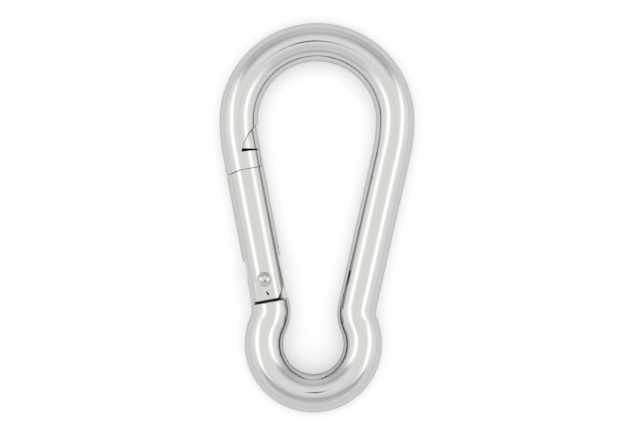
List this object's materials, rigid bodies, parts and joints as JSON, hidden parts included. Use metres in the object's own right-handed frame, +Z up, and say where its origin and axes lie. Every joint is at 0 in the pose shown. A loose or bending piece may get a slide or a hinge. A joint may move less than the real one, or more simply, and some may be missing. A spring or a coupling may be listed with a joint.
{
  "type": "carabiner snap hook",
  "caption": "Pear-shaped carabiner bent from polished round steel bar, with a wide bow, a small eye and a sprung gate that opens inwards and latches on a hammer head.",
  "frame": {"origin": "on the surface the hook lies on, under the middle of its outline", "axes": "+Y along the hook from the small eye to the wide bow, +X away from the gate, +Z up out of the hook's plane"},
  "size_m": [0.05, 0.1, 0.0098],
  "materials": {
    "bar": "polished",
    "gate": "polished",
    "rivet": "polished",
    "spring": "drawn wire",
    "plunger": "ground"
  },
  "bodies": {
    "hook": {"body": "bar"},
    "gate": {"gate": "gate", "hinge_rivet": "rivet", "spring": "spring"},
    "plunger": {"plunger": "plunger"}
  },
  "joints": [
    {"name": "gate_hinge", "type": "hinge", "parent": "hook", "child": "gate", "pos_m": [-0.01277, -0.01589, 0.0049], "axis": [0, 0, -1], "range_deg": [0, 32], "stiffness_Nm_per_rad": 0.03, "springref_deg": -28.65},
    {"name": "plunger_slide", "type": "slide", "parent": "gate", "child": "plunger", "axis": [-0.2028, 0.9792, 0], "range_m": [0, 0.0011], "deforming": ["spring"]}
  ],
  "couplings": [
    {"joint": "plunger_slide", "follows": "gate_hinge", "m_per_rad": 0.0018}
  ]
}
